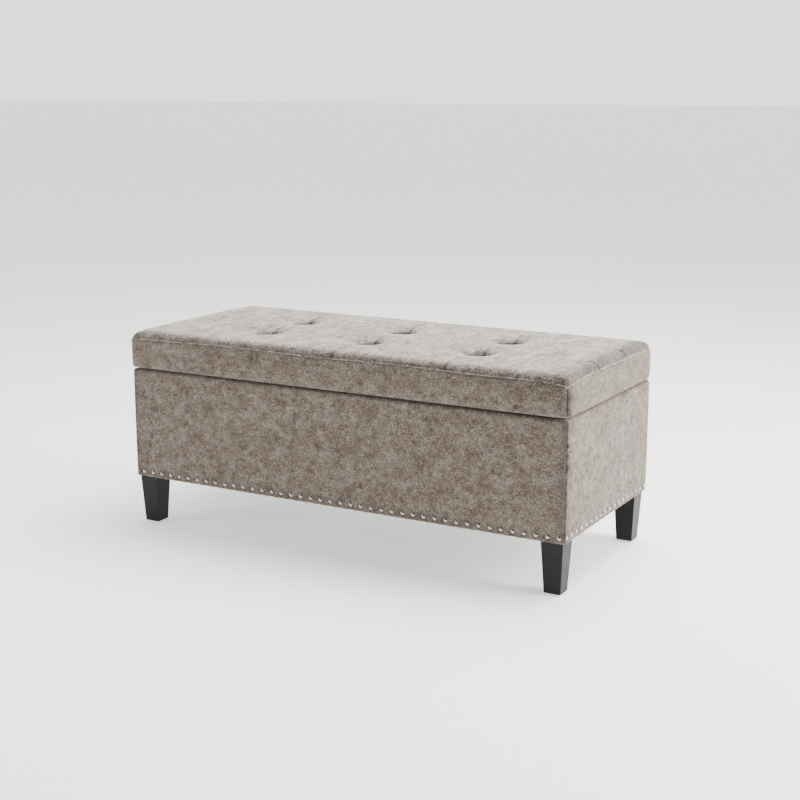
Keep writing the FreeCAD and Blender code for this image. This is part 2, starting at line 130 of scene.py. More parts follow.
# The sky is brighter behind the bench than in front of it, with a pale haze at the horizon.
glow = node(
    tree,
    "ShaderNodeMapRange",
    {"Value": way_parts.outputs["Y"], "From Min": -0.2, "From Max": 0.5, "To Min": 0.1, "To Max": 2.0},
)
haze = node(
    tree,
    "ShaderNodeMapRange",
    {"Value": way_parts.outputs["Z"], "From Min": 0.0, "From Max": 0.15, "To Min": 0.7, "To Max": 0.1},
)
brightest = node(
    tree, "ShaderNodeMath", {0: glow.outputs["Result"], 1: haze.outputs["Result"]}, operation="MAXIMUM"
)
tree.links.new(brightest.outputs["Value"], tree.nodes["Background"].inputs["Strength"])
tree.nodes["Background"].inputs["Color"].default_value = srgb("#FFFFFF")
bpy.context.scene.world = world


# ---------------------------------------------------------------------------------------------
# Box covers: four widths of crushed velvet over wadding, sewn together at the corners, pulled over
# the rim and stapled inside, and turned under the base. Dome nails pull the lower edge in.
def velvet(name, nap_scale, fleck_depth, dark, middle, pale):
    """Crushed polyester velvet: pressed pile in cloudy patches and dark flecks, with a rim of sheen.

    nap_scale stretches the pattern along the nap. The pile's tufts are drawn 2.4 mm across, coarser
    than real ones, so that they show. The shade attribute is painted shade: it darkens the colour in
    seams, creases and tuft pits, round the nails, and where cloth rolls away from the light.
    """
    made, tree, shader = new_material(name)
    place = node(tree, "ShaderNodeTexCoord").outputs["Object"]
    nap = node(tree, "ShaderNodeMapping", {"Vector": place, "Scale": nap_scale}).outputs["Vector"]
    # Each layer: width in mm, detail, roughness, distortion, the noise's range, and what it adds.
    clouds = (32, 6.0, 0.7, 0.3, 0.34, 0.62, 0.19)
    patches = (12, 5.0, 0.65, 0.0, 0.34, 0.56, 0.17)
    pile = (2.4, 3.0, 0.8, 0.0, 0.34, 0.66, 0.56)
    flecks = (17, 5.0, 0.62, 0.0, 0.57, 0.72, -fleck_depth)
    layers = []
    for width, detail, roughness, distortion, low, high, amount in (clouds, patches, pile, flecks):
        layer = node(
            tree,
            "ShaderNodeTexNoise",
            {
                "Vector": nap,
                "Scale": 1000 / width,
                "Detail": detail,
                "Roughness": roughness,
                "Distortion": distortion,
            },
        )
        share = node(
            tree,
            "ShaderNodeMapRange",
            {"Value": layer.outputs["Fac"], "From Min": low, "From Max": high, "To Max": amount},
        )
        layers.append(share.outputs["Result"])
    total = node(tree, "ShaderNodeMath", {0: layers[0], 1: layers[1]}, operation="ADD")
    for layer in layers[2:]:
        total = node(tree, "ShaderNodeMath", {0: total.outputs["Value"], 1: layer}, operation="ADD")
    ramp = node(tree, "ShaderNodeValToRGB", {"Fac": total.outputs["Value"]})
    ramp.color_ramp.elements[0].position = 0.08
    ramp.color_ramp.elements[0].color = srgb(dark)
    ramp.color_ramp.elements[1].position = 0.95
    ramp.color_ramp.elements[1].color = srgb(pale)
    ramp.color_ramp.elements.new(0.5).color = srgb(middle)
    # Painted shade: the shade attribute mixes the colour towards a near-black brown.
    shade = node(tree, "ShaderNodeAttribute", attribute_name="shade", attribute_type="GEOMETRY")
    plain = ramp.outputs["Color"]
    colour = node(tree, "ShaderNodeMixRGB", {"Fac": shade.outputs["Fac"], "Color1": plain})
    colour.inputs["Color2"].default_value = srgb("#1A1512")
    height = node(tree, "ShaderNodeMath", {0: layers[0], 1: layers[2]}, operation="ADD")
    bump = node(
        tree,
        "ShaderNodeBump",
        {"Height": height.outputs["Value"], "Strength": 0.35, "Distance": 0.8 * MM},
    )
    tree.links.new(colour.outputs["Color"], shader.inputs["Base Color"])
    tree.links.new(bump.outputs["Normal"], shader.inputs["Normal"])
    shader.inputs["Roughness"].default_value = 0.85
    shader.inputs["Specular IOR Level"].default_value = 0.2
    shader.inputs["Sheen Weight"].default_value = 0.4
    shader.inputs["Sheen Roughness"].default_value = 0.35
    shader.inputs["Sheen Tint"].default_value = srgb("#EFE6DE")
    return made


upright = (0.85, 0.85, 1.0)
wall_velvet = velvet("crushed_velvet_upright_nap", upright, 0.18, "#342D28", "#675C53", "#A59A8F")
end_velvet = velvet("crushed_velvet_end_panels", upright, 0.55, "#342D28", "#695E55", "#AEA398")
body_low, body_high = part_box("front_cover")
body_x = body_high[0]
body_y = -body_low[1]
body_foot = body_low[2]
body_rim = body_high[2]
pad = 2.4 * MM  # loft of the wadding, which lifts the velvet off the box
flap_overlap = 2 * MM
rim_width = body_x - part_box("storage_liner")[1][0] + flap_overlap + pad
flap_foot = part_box("storage_liner")[1][2]
nail_line = body_foot + 12 * MM
turn_under = 58 * MM
corner_round = 6 * MM
rim_round = 7 * MM
flap_round = 4 * MM
foot_round = 4 * MM
face_swell = 2.6 * MM  # at the middle of each face
face_ripple = 0.7 * MM
swell_falloff = 18 * MM  # towards a corner seam
seam_groove = 2.4 * MM
groove_width = 2.4 * MM
seam_shade_width = 3.4 * MM
nail_dimple = 1.3 * MM
dimple_width = 8 * MM
nail_shade_width = 7.5 * MM
nail_tuck = 0.9 * MM  # lift of the lower edge at each nail
tuck_width = 7 * MM
tuck_height = 10 * MM
corner_columns = 4
corner_step = 2.2 * MM  # cloth between two columns near a corner seam


def arc(centre, radius, start, end, count):
    """Points on an arc, between two angles in degrees, the start left out."""
    angles = [math.radians(start + (end - start) * (i + 1) / count) for i in range(count)]
    return [(centre[0] + radius * math.cos(a), centre[1] + radius * math.sin(a)) for a in angles]


def line(start, end, step):
    """Points from start to end, the start left out."""
    count = max(1, round(math.dist(start, end) / step))
    way = (end[0] - start[0], end[1] - start[1])
    steps = range(1, count + 1)
    return [(start[0] + way[0] * i / count, start[1] + way[1] * i / count) for i in steps]


def wall_profile():
    """The cover's path as (inset, height): up inside the rim, over it, down the face and under."""
    path = [(rim_width, flap_foot)]
    path += line(path[-1], (rim_width, body_rim - flap_round), 6 * MM)
    path += arc((rim_width - flap_round, body_rim - flap_round), flap_round, 0, 90, 3)
    path += line(path[-1], (rim_round, body_rim), 6 * MM)
    path += arc((rim_round, body_rim - rim_round), rim_round, 90, 180, 5)
    path += line(path[-1], (0, body_foot + 28 * MM), 6 * MM)
    path += line(path[-1], (0, body_foot + foot_round), 3 * MM)
    path += arc((foot_round, body_foot + foot_round), foot_round, 180, 270, 3)
    path += line(path[-1], (turn_under, body_foot), 14 * MM)
    return path


def nail_places(trim, along):
    """Middle of each nail head in a row, from the row's box: places along it, and the height."""
    low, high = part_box(trim)
    radius = (high[2] - low[2]) / 2
    count = 42 if trim == "front_nail_trim" else 18
    first = low[along] + radius
    pitch = (high[along] - low[along] - 2 * radius) / (count - 1)
    return [first + i * pitch for i in range(count)], (low[2] + high[2]) / 2


def wall_cover(name, cloth, half_length, half_width, place, seed, nails):
    """One width of velvet between two corner seams.

    place turns (along, out, height) to a point. nails are the places of its row, and their level.
    """
    path = wall_profile()
    columns = 2 * round(half_length / (4 * MM))
    form = bmesh.new()
    bmesh.ops.create_grid(form, x_segments=columns, y_segments=len(path) - 1, size=1)
    shade = form.verts.layers.float.new("shade")
    for v in form.verts:
        inset, height = path[round((v.co.y + 1) / 2 * (len(path) - 1))]
        radius = max(corner_round - inset, 0.2 * MM)
        reach = half_length - inset
        out = half_width - inset
        column = abs(v.co.x) * columns / 2
        straight = columns / 2 - corner_columns
        if column <= straight:
            along = (reach - radius) * column / straight
        else:
            angle = math.radians(45) * (column - straight) / corner_columns
            along = reach - radius + radius * math.sin(angle)
            out = out - radius + radius * math.cos(angle)
        along = math.copysign(along, v.co.x)
        face = 1 if inset < 3 * MM else 0
        rise = (height - nail_line) / (body_rim - nail_line)
        swell = face_swell * math.sin(math.pi * min(max(rise, 0), 1)) ** 0.6
        ends = 1 - math.exp(-(half_length - abs(along)) / swell_falloff)
        out += face * swell * ends
        ripple = face_ripple * noise.noise(Vector((along * 9 + seed, height * 9, seed)))
        out += face * ripple * ends
        to_seam = (columns / 2 - column) * corner_step
        out -= seam_groove * math.exp(-((to_seam / groove_width) ** 2)) * face
        # Painted shade: dark in the corner seam's groove, and fading in over the last few centimetres of
        # each face before a corner.
        seam_shade = 0.97 * math.exp(-((to_seam / seam_shade_width) ** 2))
        v[shade] = max(seam_shade, 0.4 * (1 - ends)) * face
        if nails and inset < 20 * MM and height < body_foot + 40 * MM:
            places, level = nails
            near = min(places, key=lambda p: abs(p - along))
            gap = math.hypot(near - along, height - level)
            out -= nail_dimple * math.exp(-((gap / dimple_width) ** 2))
            # Painted shade: a dark ring round each nail head, in its dimple.
            v[shade] = max(v[shade], 0.55 * math.exp(-((gap / nail_shade_width) ** 2)))
            tuck = nail_tuck * math.exp(-(((near - along) / tuck_width) ** 2))
            height += tuck * math.exp(-((height - body_foot) / tuck_height))
        v.co = place(along, out, height)
    along_way, out_way, up_way = (Vector(place(*way)) for way in ((1, 0, 0), (0, 1, 0), (0, 0, 1)))
    if along_way.cross(up_way).dot(out_way) > 0:
        bmesh.ops.reverse_faces(form, faces=form.faces)
    return new_object(name, form, cloth)


front_nails = nail_places("front_nail_trim", 0)
right_nails = nail_places("right_nail_trim", 1)
left_nails = nail_places("left_nail_trim", 1)
covers = [
    ("front_cover", wall_velvet, body_x, body_y, lambda a, o, h: (a, -o, h), 1.0, front_nails),
    ("back_cover", wall_velvet, body_x, body_y, lambda a, o, h: (-a, o, h), 2.0, None),
    ("right_end_cover", end_velvet, body_y, body_x, lambda a, o, h: (o, a, h), 3.0, right_nails),
    ("left_end_cover", end_velvet, body_y, body_x, lambda a, o, h: (-o, a, h), 4.0, left_nails),
]
for name, cloth, half_length, half_width, place, seed, nails in covers:
    size = (half_length + pad, half_width + pad)
    cover = wall_cover(name + "_velvet", cloth, *size, place, seed, nails)
    thickness = cover.modifiers.new("thickness", "SOLIDIFY")
    thickness.thickness = 1.6 * MM
    thickness.offset = -1
    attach(cover, "box")
    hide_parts(name, *(["padding_wrap"] if name == "front_cover" else []))


# ---------------------------------------------------------------------------------------------
# Nail trim: domed upholstery nails of nickel-plated steel, driven in by hand along the lower edge
# of the front and both ends, about 25 mm apart.
def nickel_plate():
    """Nickel plate, bright and slightly warm, polished on the dome, with faint handling marks."""
    made, tree, shader = new_material("nickel_plated_steel")
    place = node(tree, "ShaderNodeTexCoord").outputs["Object"]
    marks = node(tree, "ShaderNodeTexNoise", {"Vector": place, "Scale": 1000 / 3, "Detail": 3.0})
    gloss = node(
        tree,
        "ShaderNodeMapRange",
        {"Value": marks.outputs["Fac"], "From Min": 0.3, "From Max": 0.7, "To Min": 0.1, "To Max": 0.22},
    )
    tree.links.new(gloss.outputs["Result"], shader.inputs["Roughness"])
    shader.inputs["Base Color"].default_value = srgb("#A8A097")
    shader.inputs["Metallic"].default_value = 1.0
    return made


nickel = nickel_plate()


def nail_row(name, places, level, turn, at):
    """A row of dome nails, each a profile spun about its own axis, and set a little unevenly.

    at turns (along, out, height) to a point, and turn says that it mirrors the dome.
    """
    radius = 5.25 * MM
    rise = 3.4 * MM
    rim = 0.35 * MM
    form = bmesh.new()
    random.seed(len(name))
    for along in places:
        single = bmesh.new()
        profile = [single.verts.new((radius, 0, -0.6 * MM)), single.verts.new((radius, 0, rim))]
        for i in (1, 2, 3):
            angle = math.radians(90 * i / 4)
            height = rim + (rise - rim) * math.sin(angle)
            profile.append(single.verts.new((radius * 0.97 * math.cos(angle), 0, height)))
        profile.append(single.verts.new((0, 0, rise)))
        edges = [single.edges.new(pair) for pair in zip(profile, profile[1:])]
        bmesh.ops.spin(
            single,
            geom=profile + edges,
            cent=(0, 0, 0),
            axis=(0, 0, 1),
            angle=math.tau,
            steps=16,
            use_merge=True,
        )
        bmesh.ops.remove_doubles(single, verts=single.verts, dist=0.01 * MM)
        bmesh.ops.recalc_face_normals(single, faces=single.faces)
        tilt = Vector((random.uniform(-0.03, 0.03), random.uniform(-0.03, 0.03), 0))
        shift = random.uniform(-0.35, 0.35) * MM
        lift = random.uniform(-0.3, 0.3) * MM
        for v in single.verts:
            x, y, z = v.co
            z += tilt.x * x + tilt.y * y
            v.co = at(along + x + shift, z, level + y + lift)
        if turn:
            bmesh.ops.reverse_faces(single, faces=single.faces)
        mesh = bpy.data.meshes.new("nail")
        single.to_mesh(mesh)
        single.free()
        form.from_mesh(mesh)
        bpy.data.meshes.remove(mesh)
    return new_object(name, form, nickel)


nail_sink = 0.2 * MM  # from the box's face in to the rim of each head
rows = [
    ("front_nail_trim", front_nails, True, lambda a, o, h: (a, -body_y + nail_sink - o, h)),
    ("right_nail_trim", right_nails, True, lambda a, o, h: (body_x - nail_sink + o, a, h)),
    ("left_nail_trim", left_nails, False, lambda a, o, h: (-body_x + nail_sink - o, a, h)),
]
for name, (places, level), turn, at in rows:
    nails = nail_row(name + "_domes", places, level, turn, at)
    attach(nails, "box")
    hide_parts(name)


# ---------------------------------------------------------------------------------------------
# Legs: square tapered hardwood, lacquered black with a satin sheen. Each screws up into a tee nut
# in a corner block, and stands on a nylon glide.
def black_lacquer():
    """Satin lacquer, nearly black, over fine straight grain that shows as a faint relief."""
    made, tree, shader = new_material("black_satin_lacquered_wood")
    place = node(tree, "ShaderNodeTexCoord").outputs["Object"]
    along = node(tree, "ShaderNodeMapping", {"Vector": place, "Scale": (1, 1, 0.06)}).outputs["Vector"]
    grain = node(tree, "ShaderNodeTexNoise", {"Vector": along, "Scale": 1000 / 1.6, "Detail": 3.0})
    bump = node(
        tree, "ShaderNodeBump", {"Height": grain.outputs["Fac"], "Strength": 0.25, "Distance": 0.1 * MM}
    )
    colour = node(tree, "ShaderNodeValToRGB", {"Fac": grain.outputs["Fac"]})
    colour.color_ramp.elements[0].position = 0.35
    colour.color_ramp.elements[0].color = srgb("#100F0F")
    colour.color_ramp.elements[1].position = 0.7
    colour.color_ramp.elements[1].color = srgb("#1C1B1A")
    gloss = node(
        tree,
        "ShaderNodeMapRange",
        {"Value": grain.outputs["Fac"], "From Min": 0.3, "From Max": 0.7, "To Min": 0.34, "To Max": 0.46},
    )
    tree.links.new(colour.outputs["Color"], shader.inputs["Base Color"])
    tree.links.new(gloss.outputs["Result"], shader.inputs["Roughness"])
    tree.links.new(bump.outputs["Normal"], shader.inputs["Normal"])
    shader.inputs["Specular IOR Level"].default_value = 0.16
    shader.inputs["Coat Weight"].default_value = 0.04
    shader.inputs["Coat Roughness"].default_value = 0.3
    return made


lacquer = black_lacquer()
leg_foot_side = 36 * MM
for name in ("front_left_leg", "front_right_leg", "rear_left_leg", "rear_right_leg"):
    low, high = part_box(name)
    form = bmesh.new()
    bmesh.ops.create_cube(form, size=1)
    for v in form.verts:
        side = high[0] - low[0] if v.co.z > 0 else leg_foot_side
        v.co.x = (low[0] + high[0]) / 2 + v.co.x * side
        v.co.y = (low[1] + high[1]) / 2 + v.co.y * side
        v.co.z = high[2] if v.co.z > 0 else low[2]
    bmesh.ops.bevel(
        form, geom=form.edges[:], offset=0.9 * MM, segments=2, profile=0.5, affect="EDGES", material=-1
    )
    leg = new_object(name + "_lacquered", form, lacquer)
    leg.data.shade_flat()
    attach(leg, "box")
    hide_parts(name)


# ---------------------------------------------------------------------------------------------
# Lid cushion: foam over a plywood board. The top cover is twelve sewn panels, pulled down by six
# covered buttons; a boxing band is sewn round it and stapled under the board.
lengthwise = (0.7, 0.9, 1.0)
crosswise = (0.8, 0.45, 1.0)
band_velvet = velvet("crushed_velvet_band_nap", lengthwise, 0.18, "#342D28", "#665B52", "#A3988D")
# The lid top is the walls' cloth with a paler palette: painted light, for the overhead lamp and the sheen
# seen at a low angle.
lid_velvet = velvet("crushed_velvet_crosswise_nap_painted_light", crosswise, 0.3, "#332C27", "#7F746B", "#DCD3C8")
lid_low, lid_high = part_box("lid_boxing")
lid_x = lid_high[0]
lid_y = lid_high[1]
lid_foot = lid_low[2]
lid_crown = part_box("lid_top_cover")[1][2]
button_low, button_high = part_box("tuft_buttons")
button_radius = 12.5 * MM
tuft_x = button_high[0] - button_radius
tuft_y = button_high[1] - button_radius
tufts = [(x, y) for y in (-tuft_y, tuft_y) for x in (-tuft_x, 0, tuft_x)]
seam_level = lid_foot + 69 * MM
seam_droop = 10 * MM  # at the corners
left_corner_round = 9 * MM  # hand-pulled corners differ
right_corner_round = 20 * MM
roll_width = 25 * MM  # of the cushion's rounded edge
turn_round = 6 * MM
pit_floor_radius = 17 * MM  # of each tuft's steep pit, which lies in a wide shallow dish
pit_depth = 22 * MM
pit_slope = 7 * MM
dish_depth = 8.5 * MM
dish_slope = 25 * MM
deepest_pull = 30 * MM
tuft_hold_radius = 21 * MM  # of the cloth that each button keeps still
cells_x = 214
cells_y = 93
seam_cell_x = 53  # cells from the middle of the lid to the outer tufts
seam_cell_y = 15.5


def along_cells(cell, seam_cell, seam_place, last_cell, last_place):
    """Place of a grid line, spaced so that one falls on the seam and the last on the edge."""
    size = abs(cell)
    if size <= seam_cell:
        place = seam_place * size / seam_cell
    else:
        place = seam_place + (last_place - seam_place) * (size - seam_cell) / (last_cell - seam_cell)
    return math.copysign(place, cell)


def rounded_plan(x, y, half_x, half_y, radius):
    """Moves a point of a rectangle so that the rectangle's corners become arcs."""
    over_x = (abs(x) - half_x + radius) / radius
    over_y = (abs(y) - half_y + radius) / radius
    if over_x > 0 and over_y > 0:
        new_x = half_x - radius + radius * over_x * math.sqrt(1 - over_y**2 / 2)
        new_y = half_y - radius + radius * over_y * math.sqrt(1 - over_x**2 / 2)
        return math.copysign(new_x, x), math.copysign(new_y, y)
    return x, y


def seam_height(x, y):
    """Level of the top seam, which droops towards the corners."""
    from_corner = max(lid_x - abs(x), lid_y - abs(y))
    at_corner = math.exp(-from_corner / (40 * MM))
    wander = 1.6 * MM * math.cos(math.tau * (x + y / 2 + 0.164) / 0.383)
    return seam_level - wander * (1 - at_corner) - seam_droop * at_corner


def edge_rise(distance):
    """Roll of the cushion's edge, from 0 at the seam to 1 where the top is flat."""
    share = min(distance / roll_width, 1)
    return math.sqrt(1 - (1 - share) ** 2)


def tuft_pull(x, y):
    """How far the buttons pull this point down: a steep-sided pit in a wide shallow dish."""
    pull = 0
    for place in tufts:
        gap = max(math.dist((x, y), place) - pit_floor_radius, 0)
        pull += pit_depth * math.exp(-gap / pit_slope) + dish_depth * math.exp(-gap / dish_slope)
    return min(pull, deepest_pull)


def cushion_height(x, y):
    """Height of the cushion's top before the cloth is inflated."""
    rim = seam_height(x, y)
    from_end = max(lid_x - abs(x), 0.01 * MM)
    from_side = max(lid_y - abs(y), 0.01 * MM)
    rise = edge_rise((from_end**-3 + from_side**-3) ** (-1 / 3))
    crown = 2 * MM * math.cos(math.pi * y / (2 * lid_y))
    flat = lid_crown + crown
    return rim + (flat - rim) * rise - tuft_pull(x, y) * rise


def cushion_form():
    """Top grid and boxing band, turned under the board. The part layer says which is which."""
    form = bmesh.new()
    bmesh.ops.create_grid(form, x_segments=cells_x, y_segments=cells_y, size=1)
    part = form.faces.layers.int.new("part")
    flat_x = form.verts.layers.float.new("flat_x")
    flat_y = form.verts.layers.float.new("flat_y")
    for v in form.verts:
        cell_x = v.co.x * cells_x / 2
        cell_y = v.co.y * cells_y / 2
        x = along_cells(cell_x, seam_cell_x, tuft_x, cells_x / 2, lid_x)
        y = along_cells(cell_y, seam_cell_y, tuft_y, cells_y / 2, lid_y)
        z = cushion_height(x, y)
        v[flat_x] = x
        v[flat_y] = y
        corner = right_corner_round if x > 0 else left_corner_round
        v.co = (*rounded_plan(x, y, lid_x, lid_y, corner), z)
    ring = [e for e in form.edges if e.is_boundary]
    top_of = {v: v.co.copy() for e in ring for v in e.verts}
    drops = [("drop", 0, share) for share in (0.12, 0.25, 0.38, 0.5, 0.62, 0.74, 0.85, 0.93)]
    unders = [("under", *step) for step in ((0.8, 2.2), (2.2, 0.8), (6, 0), (20, 0), (45, 0))]
    for kind, inset, level in drops + unders:
        made = bmesh.ops.extrude_edge_only(form, edges=ring)["geom"]
        for face in (g for g in made if isinstance(g, bmesh.types.BMFace)):
            face[part] = 1
        ring = [g for g in made if isinstance(g, bmesh.types.BMEdge) and g.is_boundary]
        above = top_of
        top_of = {}
        for v in {v for e in ring for v in e.verts}:
            top = next(above[e.other_vert(v)] for e in v.link_edges if e.other_vert(v) in above)
            top_of[v] = top
            if kind == "drop":
                v.co = (top.x, top.y, top.z + (lid_foot + turn_round - top.z) * level)
            else:
                scale_x = (lid_x - inset * MM) / lid_x
                scale_y = (lid_y - inset * MM) / lid_y
                v.co = (top.x * scale_x, top.y * scale_y, lid_foot + level * MM)
    bmesh.ops.recalc_face_normals(form, faces=form.faces)
    return form


cushion = new_object("cushion_blank", cushion_form(), lid_velvet)


def inflate(piece, hold, cap):
    """Swells the piece as cloth. hold(point) is how firmly a vertex stays, and cap how far it goes."""
    group = piece.vertex_groups.new(name="hold")
    start = [v.co.copy() for v in piece.data.vertices]
    for i, point in enumerate(start):
        group.add([i], hold(point), "REPLACE")
    cloth = piece.modifiers.new("cloth", "CLOTH")
    cloth.settings.quality = 5
    cloth.settings.mass = 0.25
    cloth.settings.tension_stiffness = 12
    cloth.settings.compression_stiffness = 12
    cloth.settings.shear_stiffness = 4
    cloth.settings.bending_stiffness = 2
    cloth.settings.use_pressure = True
    cloth.settings.uniform_pressure_force = 6
    cloth.settings.shrink_min = 0
    cloth.settings.vertex_group_mass = "hold"
    cloth.settings.pin_stiffness = 1
    cloth.settings.effector_weights.gravity = 0
    cloth.collision_settings.use_collision = False
    steps = 20
    cloth.point_cache.frame_start = 1
    cloth.point_cache.frame_end = steps
    scene = bpy.context.scene
    for step in range(1, steps + 1):
        scene.frame_set(step)
    swollen = piece.evaluated_get(bpy.context.evaluated_depsgraph_get())
    moved = [v.co.copy() for v in swollen.data.vertices]
    piece.modifiers.remove(cloth)
    scene.frame_set(1)
    for v, old, new in zip(piece.data.vertices, start, moved):
        way = new - old
        if way.length > cap:
            way *= cap / way.length
        v.co = old + way
    piece.vertex_groups.clear()


def cushion_hold(point):
    """Held under the board, at the buttons and along the top seam, and lightly elsewhere."""
    if point.z < lid_foot + turn_round + 1 * MM:
        return 1.0
    if max(abs(point.x) - lid_x, abs(point.y) - lid_y) > -1 * MM:
        return 1.0 if point.z > seam_level - 12 * MM else 0.25
    to_tuft = min(math.dist(point.xy, place) for place in tufts)
    return 1.0 if to_tuft < tuft_hold_radius else 0.2


inflate(cushion, cushion_hold, 7 * MM)
smooth = cushion.modifiers.new("smooth", "SUBSURF")
smooth.levels = 1
smooth.render_levels = 1
fine = bpy.data.meshes.new_from_object(cushion.evaluated_get(bpy.context.evaluated_depsgraph_get()))
bpy.data.objects.remove(cushion)


tuft_mouth = 16 * MM
gather_depth = 0.45 * MM
behind_reach = 60 * MM  # of the panel creases behind a tuft, and in from the front and right edges
front_reach = 42 * MM
right_reach = 38 * MM
seam_line = 2.4 * MM  # half-width of the sewn line, and of the hollow beside it
seam_hollow = 9 * MM
pit_shade_radius = 27 * MM
boxing_swell = 3.2 * MM  # halfway up the band
corner_pull = 1.6 * MM
corner_seam_width = 2.4 * MM


def crease(distance, width):
    """Cross-section of a sewn seam: 1 in its line, falling to 0."""
    return math.exp(-abs(distance) / width)


def sew(form):
    """Draws in the seams of the top cover and boxing, and gathers the cloth round the buttons.

    The panel seams show most behind each tuft, and where they cross the front and right-hand edges.
    """
    shade = form.verts.layers.float.new("shade")
    part = form.faces.layers.int["part"]
    flat_x = form.verts.layers.float["flat_x"]
    flat_y = form.verts.layers.float["flat_y"]
    for v in form.verts:
        kinds = {f[part] for f in v.link_faces}
        x, y = v[flat_x], v[flat_y]
        if kinds == {0}:
            nearest = min(tufts, key=lambda p: math.dist((x, y), p))
            gap = Vector((x - nearest[0], y - nearest[1]))
            mouth = max(gap.length - tuft_mouth, 0)
            behind = math.exp(-mouth / behind_reach) * (1.0 if gap.y > 0 else 0.2)
            front_edge = math.exp(-(y + lid_y) / front_reach) * (0.35 if x < -0.2 else 1.0)
            right_edge = math.exp(-(lid_x - x) / right_reach)
            cross_depth = (0.2 + 4 * behind + 3 * front_edge) * MM
            long_depth = (0.2 + 0.8 * behind + 3.2 * right_edge) * MM
            line_x = min(abs(x), abs(abs(x) - tuft_x))
            line_y = abs(abs(y) - tuft_y)
            free = 1 - math.exp(-((gap.length / tuft_mouth) ** 4))
            cross, long = (
                depth * (0.5 * crease(gap_to_line, seam_line) + 0.5 * crease(gap_to_line, seam_hollow))
                for depth, gap_to_line in ((cross_depth, line_x), (long_depth, line_y))
            )
            v.co.z -= max(cross, long) * free
            # Painted shade: dark lines along the panel creases, darkest where they are drawn in deepest.
            dark = max(cross_depth * crease(line_x, 3 * MM), long_depth * crease(line_y, 1.8 * MM))
            # Painted shade in bands where the cushion rolls away from the light at the right-hand end and
            # the front.
            roll_right_shade = 1.3 * math.exp(-(((lid_x - x) / (34 * MM)) ** 2))
            roll_front_shade = 0.9 * math.exp(-(((y + lid_y) / (18 * MM)) ** 2))
            # Painted shade in the deep part of each tuft pit.
            pit = math.exp(-((gap.length / pit_shade_radius) ** 6))
            line_shade = 0.26 * dark / MM * free
            v[shade] = min(line_shade + 0.5 * max(roll_right_shade, roll_front_shade) + 0.9 * pit, 0.93)
            angle = math.atan2(gap.y, gap.x)
            wide_folds = math.sin(9 * angle + 30 * nearest[0])
            narrow_folds = 0.6 * math.sin(14 * angle + 50 * nearest[1])
            reach = math.exp(-mouth / (12 * MM)) if mouth > 0 else 0
            v.co.z += gather_depth * (wide_folds + narrow_folds) * reach
        elif kinds == {1} and v.co.z > lid_foot + 5 * MM:
            corner = lid_x - abs(x) + lid_y - abs(y)
            # Painted shade: a dark line down each corner seam, and painted shadow on the band's front
            # towards its right-hand end.
            shadow = 0.4 * crease(lid_x - x, 25 * MM) if y < -lid_y + 1 * MM else 0
            v[shade] = max(0.95 * crease(corner, 2 * MM), shadow)
            pull = corner_pull * crease(corner, corner_seam_width)
            share = min(max((v.co.z - lid_foot) / (seam_level - lid_foot), 0), 1)
            swell = boxing_swell * math.sin(math.pi * share) * (1 - crease(corner, swell_falloff))
            if lid_x - abs(x) < lid_y - abs(y):
                v.co.x += math.copysign(swell, x)
            else:
                v.co.y += math.copysign(swell, y)
            v.co.x -= math.copysign(pull, x) * 0.7
            v.co.y -= math.copysign(pull, y) * 0.7
        elif len(kinds) > 1:
            # Painted shade along the top seam.
            v[shade] = 0.1


form = bmesh.new()
form.from_mesh(fine)
bpy.data.meshes.remove(fine)
sew(form)
part = form.faces.layers.int["part"]
seam_edges = [e for e in form.edges if len({f[part] for f in e.link_faces}) > 1]


def ordered_loop(edges):
    """Vertices of a closed run of edges, in order round it."""
    links = {}
    for edge in edges:
        a, b = edge.verts
        links.setdefault(a, []).append(b)
        links.setdefault(b, []).append(a)
    start = next(iter(links))
    loop = [start]
    before, here = None, start
    while True:
        ahead = next(v for v in links[here] if v is not before)
        if ahead is start:
            return loop
        loop.append(ahead)
        before, here = here, ahead


seam_points = [v.co.copy() for v in ordered_loop(seam_edges)]
boxing_form = form.copy()
part = boxing_form.faces.layers.int["part"]
tops = [f for f in boxing_form.faces if f[part] == 0]
bmesh.ops.delete(boxing_form, geom=tops, context="FACES")
part = form.faces.layers.int["part"]
bands = [f for f in form.faces if f[part] == 1]
bmesh.ops.delete(form, geom=bands, context="FACES")
top_cover = new_object("lid_top_cover_velvet", form, lid_velvet)
boxing = new_object("lid_boxing_velvet", boxing_form, band_velvet)
for piece, nodes in ((top_cover, ("lid_top_cover", "lid_foam")), (boxing, ("lid_boxing",))):
    cloth_wall = piece.modifiers.new("thickness", "SOLIDIFY")
    cloth_wall.thickness = 1.4 * MM
    cloth_wall.offset = -1
    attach(piece, "lid")
    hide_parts(*nodes)

curve = bpy.data.curves.new("top_seam_ridge", "CURVE")
curve.dimensions = "3D"
curve.bevel_depth = 1.1 * MM
curve.bevel_resolution = 1
run = curve.splines.new("POLY")
run.points.add(len(seam_points) - 1)
for point, co in zip(run.points, seam_points):
    outward = Vector((co.x / lid_x, co.y / lid_y, 0)) * 0.3 * MM
    point.co = (*(co + outward), 1)
run.use_cyclic_u = True
ridge_curve = bpy.data.objects.new("ridge", curve)
ridge = bpy.data.objects.new("top_seam_ridge", bpy.data.meshes.new_from_object(ridge_curve))
bpy.data.objects.remove(ridge_curve)
bpy.context.scene.collection.objects.link(ridge)
ridge.data.materials.clear()
ridge.data.materials.append(lid_velvet)
ridge.data.shade_smooth()
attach(ridge, "lid")


